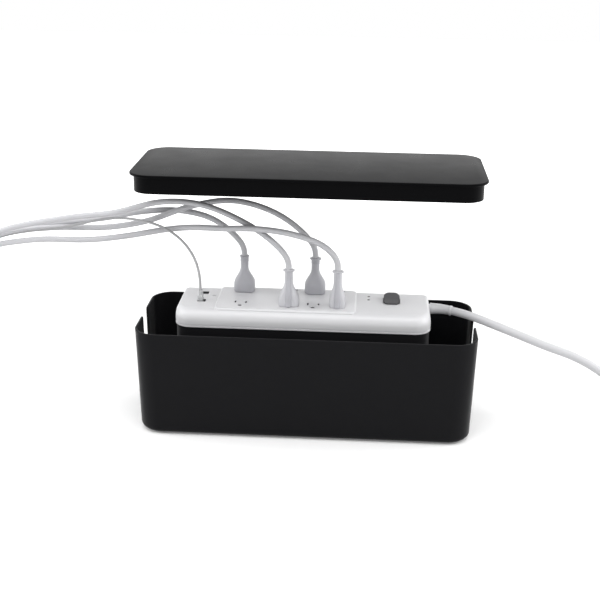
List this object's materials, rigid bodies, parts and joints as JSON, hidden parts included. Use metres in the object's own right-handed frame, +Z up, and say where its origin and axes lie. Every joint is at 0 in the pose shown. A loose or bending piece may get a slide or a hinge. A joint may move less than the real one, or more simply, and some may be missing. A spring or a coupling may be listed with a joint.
{
  "type": "cable management box",
  "caption": "Lidded tub with an open cord slot in each end, holding a power strip with its plugs and cords, shown opened with lid and strip lifted.",
  "frame": {"origin": "centre of the tub's footprint on the standing surface", "axes": "+X along the tub's length to the mains cord's end, +Y to the back, +Z up"},
  "size_m": [1.1305, 0.21, 0.317],
  "materials": {
    "box_shell": "satin moulded plastic",
    "foot_rubber": "matt",
    "strip_white": "satin white plastic",
    "base_black": "fine texture",
    "nylon": "natural nylon",
    "contact_brass": "stamped",
    "contact_gold": "plated",
    "board": "solder mask",
    "varistor_blue": "dipped epoxy",
    "copper_winding": "enamelled wire",
    "capacitor_yellow": "moulded",
    "lens": "clear moulding",
    "rocker_grey": "fine texture",
    "line_sleeve": "insulation",
    "neutral_sleeve": "insulation",
    "ground_sleeve": "insulation",
    "screw_steel": "zinc plated",
    "plug_grey": "satin moulded vinyl",
    "plug_blades": "nickel plated",
    "cord_grey": "satin vinyl sheath",
    "phone_white": "satin vinyl sheath",
    "clear_plug": "clear moulding",
    "mains_white": "satin vinyl sheath"
  },
  "bodies": {
    "tub": {"tub": "box_shell", "tub_feet": "foot_rubber", "device_cord_1": "cord_grey", "device_coil_1": "cord_grey", "device_connector_1": "cord_grey", "device_cord_2": "cord_grey", "device_coil_2": "cord_grey", "device_connector_2": "cord_grey", "device_cord_3": "cord_grey", "device_coil_3": "cord_grey", "device_connector_3": "cord_grey", "device_cord_4": "cord_grey", "device_coil_4": "cord_grey", "device_connector_4": "cord_grey", "phone_cord": "phone_white", "phone_coil": "phone_white", "phone_end_plug": "clear_plug", "mains_cord": "mains_white", "mains_coil": "mains_white", "mains_plug": "mains_white", "mains_plug_pins": "plug_blades"},
    "lid": {"lid": "box_shell"},
    "power_strip": {"strip_cover": "strip_white", "strip_base": "base_black", "outlet_carrier": "nylon", "hot_bus": "contact_brass", "neutral_bus": "contact_brass", "ground_bus": "contact_brass", "surge_board": "board", "surge_varistors": "varistor_blue", "thermal_fuse": "nylon", "noise_choke": "copper_winding", "noise_capacitor": "capacitor_yellow", "status_leds": "lens", "line_lead": "line_sleeve", "neutral_lead": "neutral_sleeve", "ground_lead": "ground_sleeve", "jack_board": "board", "surge_lens": "lens", "ground_lens": "lens", "switch_body": "base_black", "mains_gland": "strip_white", "jack_block": "base_black", "jack_contacts": "contact_gold", "jack_screw": "screw_steel", "cover_screws": "screw_steel"},
    "rocker": {"switch_rocker": "rocker_grey"},
    "plug_1": {"plug_1": "plug_grey", "plug_pins_1": "plug_blades"},
    "plug_2": {"plug_2": "plug_grey", "plug_pins_2": "plug_blades"},
    "plug_3": {"plug_3": "plug_grey", "plug_pins_3": "plug_blades"},
    "plug_4": {"plug_4": "plug_grey", "plug_pins_4": "plug_blades"},
    "phone_plug": {"phone_plug": "clear_plug"}
  },
  "joints": [
    {"name": "lid_lift", "type": "slide", "parent": "tub", "child": "lid", "axis": [0, 0, 1], "range_m": [-0.184, 0]},
    {"name": "strip_lift", "type": "slide", "parent": "tub", "child": "power_strip", "axis": [0, 0, 1], "range_m": [-0.105, 0], "deforming": ["device_cord_1", "device_cord_2", "device_cord_3", "device_cord_4", "phone_cord", "mains_cord"]},
    {"name": "rocker_tilt", "type": "hinge", "parent": "power_strip", "child": "rocker", "pos_m": [0.1, 0.0095, 0.146], "axis": [1, 0, 0], "range_deg": [-12, 0]},
    {"name": "plug_1_pull", "type": "slide", "parent": "power_strip", "child": "plug_1", "axis": [0, 0, 1], "range_m": [0, 0.02]},
    {"name": "plug_2_pull", "type": "slide", "parent": "power_strip", "child": "plug_2", "axis": [0, 0, 1], "range_m": [0, 0.02]},
    {"name": "plug_3_pull", "type": "slide", "parent": "power_strip", "child": "plug_3", "axis": [0, 0, 1], "range_m": [0, 0.02]},
    {"name": "plug_4_pull", "type": "slide", "parent": "power_strip", "child": "plug_4", "axis": [0, 0, 1], "range_m": [0, 0.02]},
    {"name": "phone_plug_pull", "type": "slide", "parent": "power_strip", "child": "phone_plug", "axis": [0, 0, 1], "range_m": [0, 0.012]}
  ],
  "couplings": [
    {"joint": "strip_lift", "follows": "lid_lift", "ratio": 0.5706}
  ]
}
